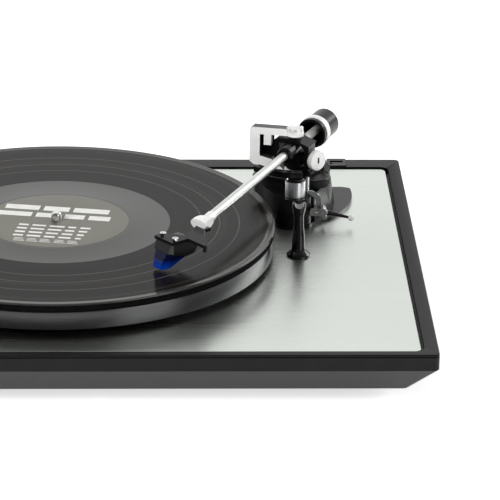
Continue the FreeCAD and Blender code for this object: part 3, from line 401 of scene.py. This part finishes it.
def piece(name, bm, matrix, material, nodes, bevel=0.0, sharp=32.0, body=None):
    """Turns a bmesh in millimetres into a piece that stands for the CAD nodes named."""
    bm.transform(matrix)
    bmesh.ops.recalc_face_normals(bm, faces=bm.faces)
    mesh = bpy.data.meshes.new(name)
    bm.to_mesh(mesh)
    bm.free()
    for polygon in mesh.polygons:
        polygon.use_smooth = True
    mesh.set_sharp_from_angle(angle=math.radians(sharp))
    made = bpy.data.objects.new(name, mesh)
    scene.collection.objects.link(made)
    mesh.materials.append(material if material else M[SLOT_OF[nodes[0]]])
    if bevel:
        edge = made.modifiers.new("edge", "BEVEL")
        edge.width = bevel / MM
        edge.segments = 2
        edge.limit_method = "ANGLE"
        edge.angle_limit = math.radians(sharp)
        edge.harden_normals = True
        edge.use_clamp_overlap = True
    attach(made, body or BODY_OF[nodes[0]])
    if nodes:
        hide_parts(*nodes)
    return made


def turned(profile, segments, closed=False):
    """A bmesh of a (radius, height) profile turned about Z. Points on the axis become poles."""
    bm = bmesh.new()
    rings = []
    for r, z in profile:
        if r < 1e-6:
            rings.append([bm.verts.new((0, 0, z))])
        else:
            turn = 2 * math.pi / segments
            angles = [turn * k for k in range(segments)]
            rings.append([bm.verts.new((r * math.cos(a), r * math.sin(a), z)) for a in angles])
    pairs = list(zip(rings, rings[1:] + rings[:1])) if closed else list(zip(rings, rings[1:]))
    for low, high in pairs:
        for k in range(segments):
            n = (k + 1) % segments
            corners = [low[k % len(low)], low[n % len(low)], high[n % len(high)], high[k % len(high)]]
            corners = list(dict.fromkeys(corners))
            if len(corners) > 2:
                bm.faces.new(corners)
    return bm


def refined(node, bevel):
    """A CAD node's shape as a clean mesh: flat faces joined, edges rounded."""
    bm = bmesh.new()
    bm.from_mesh(NODES[node].data)
    bmesh.ops.remove_doubles(bm, verts=bm.verts, dist=0.000002)
    bmesh.ops.dissolve_limit(bm, angle_limit=math.radians(0.6), verts=bm.verts, edges=bm.edges)
    piece(node + "_piece", bm, Matrix.Identity(4), None, [node], bevel)


def span(box):
    """A round node's lower and upper end above the record's top, and its radius, in millimetres."""
    low, high = box
    return (low.z - RECORD_TOP) * MM, (high.z - RECORD_TOP) * MM, (high.x - low.x) / 2 * MM


def in_platter(name, profile, segments, node, sharp, material=None):
    """A closed ring about the spindle, in millimetres from the record's top."""
    piece(name, turned(profile, segments, True), IN_PLATTER, material, [node], sharp=sharp)


# ---------------------------------------------------------------- record, label, platter
def record():
    """Three rings: the grooved land, the lead-in with the raised edge, and the run-out."""
    low, top, edge = span((RECORD_LOW, RECORD_HIGH))
    land = top - 0.25
    profile = [(RUNOUT_R, low), (LEADIN_R, low), (LEADIN_R, land), (RUNOUT_R, land)]
    in_platter("record_grooved", profile, 360, "record_disc", 40)
    profile = [
        (LEADIN_R, low), (edge - 0.9, low), (edge - 0.35, low + 0.25), (edge, low + 0.85),
        (edge - 0.12, low + 1.3), (edge - 0.5, top - 0.08), (edge - 1.1, top), (edge - 1.8, top - 0.03),
        (edge - 2.8, top - 0.16), (edge - 4.0, land), (LEADIN_R, land),
    ]
    in_platter("record_leadin", profile, 360, "record_disc", 40, RUNOUT)
    profile = [
        (3.65, low), (RUNOUT_R, low), (RUNOUT_R, land), (54.6, land), (53.6, land + 0.1),
        (51.2, top - 0.1), (50.1, top - 0.1), (50.1, top - 0.2), (3.65, top - 0.2),
    ]
    in_platter("record_runout", profile, 360, "record_disc", 40, RUNOUT)


def label():
    """The paper, with its pressed ring, and generic bars in place of print."""
    profile = [
        (3.7, -0.2), (49.9, -0.2), (49.9, -0.03), (49.5, 0.0), (18.4, 0.0), (17.8, -0.07), (17.2, -0.07),
        (16.6, 0.0), (4.0, 0.0), (3.7, -0.05),
    ]
    in_platter("label_disc", profile, 192, "record_label", 50)
    bm = bmesh.new()
    bars = [(a, b, 17.5, 26.0) for a, b in ((-40, -16), (-13, 5), (8, 33))]
    bars += [(a, b, 4.8, 12.8) for a, b in ((-44, -19), (-16, 1), (4, 18), (21, 36))]
    for row in range(4):
        y = -12.5 - 6.6 * row
        words = ((-24, -17), (-14.5, -5), (-2.5, 8 - row), (10.5 - row, 16), (19, 26 - row))
        bars += [(a, b, y, y + 2.8) for a, b in words]
    for row in range(3):
        y = -36.6 - 2.3 * row
        bars += [(a, a + 6.0 + row, y, y + 0.8) for a in (-22, -13, -4, 6, 15)]
    for x0, x1, y0, y1 in bars:
        outline = fillet([(x0, y0), (x1, y0), (x1, y1), (x0, y1)], 0.5, 3)
        bm.faces.new([bm.verts.new((x, y, 0.004)) for x, y in outline])
    place = IN_PLATTER @ Matrix.Rotation(LABEL_TURN, 4, "Z")
    made = piece("label_bars", bm, place, PRINT, [], body="platter")


def platter():
    z0, z1, r = span(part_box("outer_platter"))
    web = z1 - 5.0
    profile = [
        (3.6, web), (137.0, web), (137.0, z0 + 0.4), (137.4, z0), (r - 0.9, z0), (r - 0.3, z0 + 0.3),
        (r, z0 + 0.9), (r, z1 - 0.8), (r - 0.25, z1 - 0.25), (r - 0.8, z1), (3.6, z1),
    ]
    in_platter("platter_rim", profile, 320, "outer_platter", 50)


def mat():
    z0, z1, r = span(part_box("platter_mat"))
    profile = [
        (3.9, z0), (r - 0.6, z0), (r - 0.1, z0 + 0.5), (r, z0 + 1.2), (r, z1 - 1.0), (r - 0.3, z1 - 0.3),
        (r - 0.9, z1), (3.9, z1),
    ]
    in_platter("mat_disc", profile, 320, "platter_mat", 60)


def spindle():
    """The bearing's shaft, stepped down to the pin at the sub-platter's top."""
    z0, tip, _ = span(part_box("spindle_shaft"))
    step = span(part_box("sub_platter"))[1]
    profile = [
        (0, z0), (SHAFT_R - 0.5, z0), (SHAFT_R, z0 + 0.6), (SHAFT_R, step), (3.6, step), (3.6, tip - 2.4),
        (3.5, tip - 1.7), (3.15, tip - 0.95), (2.5, tip - 0.42), (1.5, tip - 0.1), (0, tip),
    ]
    piece("spindle_turned", turned(profile, 64), IN_PLATTER, None, ["spindle_shaft"], sharp=40)


def lift_cylinder():
    low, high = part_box("lift_cylinder")
    middle = (low + high) / 2
    z0, z1, r = span((low, high))
    profile = [
        (0, z0), (r - 0.2, z0), (r, z0 + 0.2), (r, z1 - 0.2), (r - 0.15, z1), (r - 0.75, z1),
        (r - 0.9, z1 - 0.15), (r - 0.9, z1 - 0.4), (r - 1.6, z1 - 0.4), (r - 1.85, z1 - 0.7),
        (r - 1.85, 2.0), (0, 2.0),
    ]
    place = Matrix.Translation((middle.x, middle.y, RECORD_TOP)) @ Matrix.Scale(1 / MM, 4)
    piece("lift_cylinder_turned", turned(profile, 96), place, LIFT_STEEL, ["lift_cylinder"], sharp=40)


record()
label()
platter()
mat()
spindle()
lift_cylinder()

# ---------------------------------------------------------------- plinth and fittings
# mm of rounding at each node's edges
EDGES = {
    "plinth_frame": 0.5, "top_plate": 0.25, "hinge_sockets": 0.3, "selector_knob": 0.35, "arm_base": 0.5,
    "gimbal_bracket": 0.5, "bearing_nut": 0.15, "arm_rest_post": 0.2, "lift_bar": 0.3,
    "lift_guide_rod": 0.15, "lever_bracket": 0.15, "cue_lever": 0.15, "antiskate_dial": 0.12,
    "yaw_frame": 0.35, "pitch_pivots": 0.15, "arm_block": 0.3, "headshell": 0.25,
    "cartridge_screws": 0.12, "cartridge_body": 0.3, "stylus_unit": 0.2, "force_dial": 0.15,
    "tube_collar": 0.15,
}
for node, width in EDGES.items():
    refined(node, width)


def mark_dial():
    """The pointer's slot in the force dial's face is filled black."""
    joint = JOINTS["force_dial_turn"]
    centre, axis = Vector(joint["pos_m"]), Vector(joint["axis"]).normalized()
    dial = bpy.data.objects["force_dial_piece"]
    front = max((v.co - centre).dot(axis) for v in dial.data.vertices)
    dial.data.materials.append(DIAL_MARK)
    for polygon in dial.data.polygons:
        away = polygon.center - centre
        depth = front - away.dot(axis)
        if 0.0001 < depth < 0.0012 and (away - axis * away.dot(axis)).length < DIAL_SLOT_R:
            polygon.material_index = 1


def paint_bracket_light_and_shade():
    """The bracket's faces to front and back carry a painted highlight, near white. Its top, sides and
    window walls carry painted shade, dark, and the eye about the pivot stays bright.
    """
    facing = Vector((math.sin(BRACKET_TURN), -math.cos(BRACKET_TURN), 0.0))
    plate = bpy.data.objects["gimbal_bracket_piece"].data
    plate.materials[0] = BRACKET_PAINTED_LIGHT
    plate.materials.append(BRACKET_PAINTED_SHADE)
    for polygon in plate.polygons:
        away = (polygon.center - PIVOT).to_2d().length
        # Faces that do not look front or back, outside the eye, get the painted shade.
        if abs(polygon.normal.dot(facing)) < 0.9 and away > BRACKET_EYE_R:
            polygon.material_index = 1


def plate_hub():
    """The cueing lever's hub is bright steel, and its stem stays black."""
    joint = JOINTS["cue_lever_turn"]
    centre, axis = Vector(joint["pos_m"]), Vector(joint["axis"]).normalized()
    lever = bpy.data.objects["cue_lever_piece"].data
    lever.materials.append(M["screw_steel"])
    for polygon in lever.polygons:
        away = polygon.center - centre
        if (away - axis * away.dot(axis)).length < HUB_R:
            polygon.material_index = 1


mark_dial()
paint_bracket_light_and_shade()
plate_hub()
for name, node in NODES.items():
    node.data.materials.clear()
    node.data.materials.append(TUBE if name == "arm_tube" else M[SLOT_OF[name]])

# ---------------------------------------------------------------- studio
FLOOR_HALF = 6.0         # m
FLOOR_GLOW = 0.62
# The sky is dark in front of the object and white behind it.
SKY = (("From Min", -0.35), ("From Max", 0.8), ("To Min", 0.12), ("To Max", 1.0))
# The fill is left out of reflections, so that the record stays black from behind.
LIGHTS = (               # name, place in m, side in m, power in W, seen in reflections
    ("key", (1.45, -1.36, 0.95), 1.1, 8.0, True),
    ("side", (1.70, 1.10, 0.95), 0.9, 10.0, True),
    ("fill", (-1.30, -1.35, 1.15), 1.2, 44.0, False),
)
CAMERA_PLACE = (0.01573, -2.21875, 0.92490)
CAMERA_DOWN = math.radians(21.663)
CAMERA_ROLL = math.radians(-2.105)
CAMERA_LENS = 248.56     # mm, on a 36 mm sensor


def studio():
    bm = bmesh.new()
    bmesh.ops.create_grid(bm, x_segments=8, y_segments=8, size=FLOOR_HALF)
    mesh = bpy.data.meshes.new("floor")
    bm.to_mesh(mesh)
    bm.free()
    floor = bpy.data.objects.new("floor", mesh)
    scene.collection.objects.link(floor)
    paint = Shader("floor_paint", (0.92, 0.92, 0.92), 0.9)
    soft = paint.noise(3.0)
    paint.colour_from(paint.tone(soft, (0.91, 0.91, 0.91), (0.93, 0.93, 0.93)))
    paint.set("Emission Color", (1, 1, 1, 1))
    paint.set("Emission Strength", FLOOR_GLOW)
    mesh.materials.append(paint.material)
    world = bpy.data.worlds.new("studio")
    world.use_nodes = True
    tree = world.node_tree
    direction = tree.nodes.new("ShaderNodeTexCoord")
    split = tree.nodes.new("ShaderNodeSeparateXYZ")
    tree.links.new(direction.outputs["Generated"], split.inputs[0])
    sweep = tree.nodes.new("ShaderNodeMapRange")
    sweep.interpolation_type = "SMOOTHSTEP"
    for key, number in SKY:
        sweep.inputs[key].default_value = number
    tree.links.new(split.outputs["Y"], sweep.inputs["Value"])
    tree.links.new(sweep.outputs[0], tree.nodes["Background"].inputs["Strength"])
    tree.nodes["Background"].inputs["Color"].default_value = (1, 1, 1, 1)
    scene.world = world
    for name, place, size, power, reflected in LIGHTS:
        light = bpy.data.lights.new(name, "AREA")
        light.size = size
        light.energy = power
        lamp = bpy.data.objects.new(name, light)
        lamp.location = place
        lamp.visible_glossy = reflected
        lamp.rotation_mode = "QUATERNION"
        lamp.rotation_quaternion = (-Vector(place)).to_track_quat("-Z", "Y")
        scene.collection.objects.link(lamp)


def camera():
    data = bpy.data.cameras.new("camera")
    data.sensor_width = 36.0
    data.lens = CAMERA_LENS
    data.clip_start, data.clip_end = 0.05, 50.0
    made = bpy.data.objects.new("camera", data)
    made.matrix_world = (
        Matrix.Translation(CAMERA_PLACE)
        @ Matrix.Rotation(math.pi / 2 - CAMERA_DOWN, 4, "X")
        @ Matrix.Rotation(CAMERA_ROLL, 4, "Y")
    )
    scene.collection.objects.link(made)
    scene.camera = made


studio()
camera()
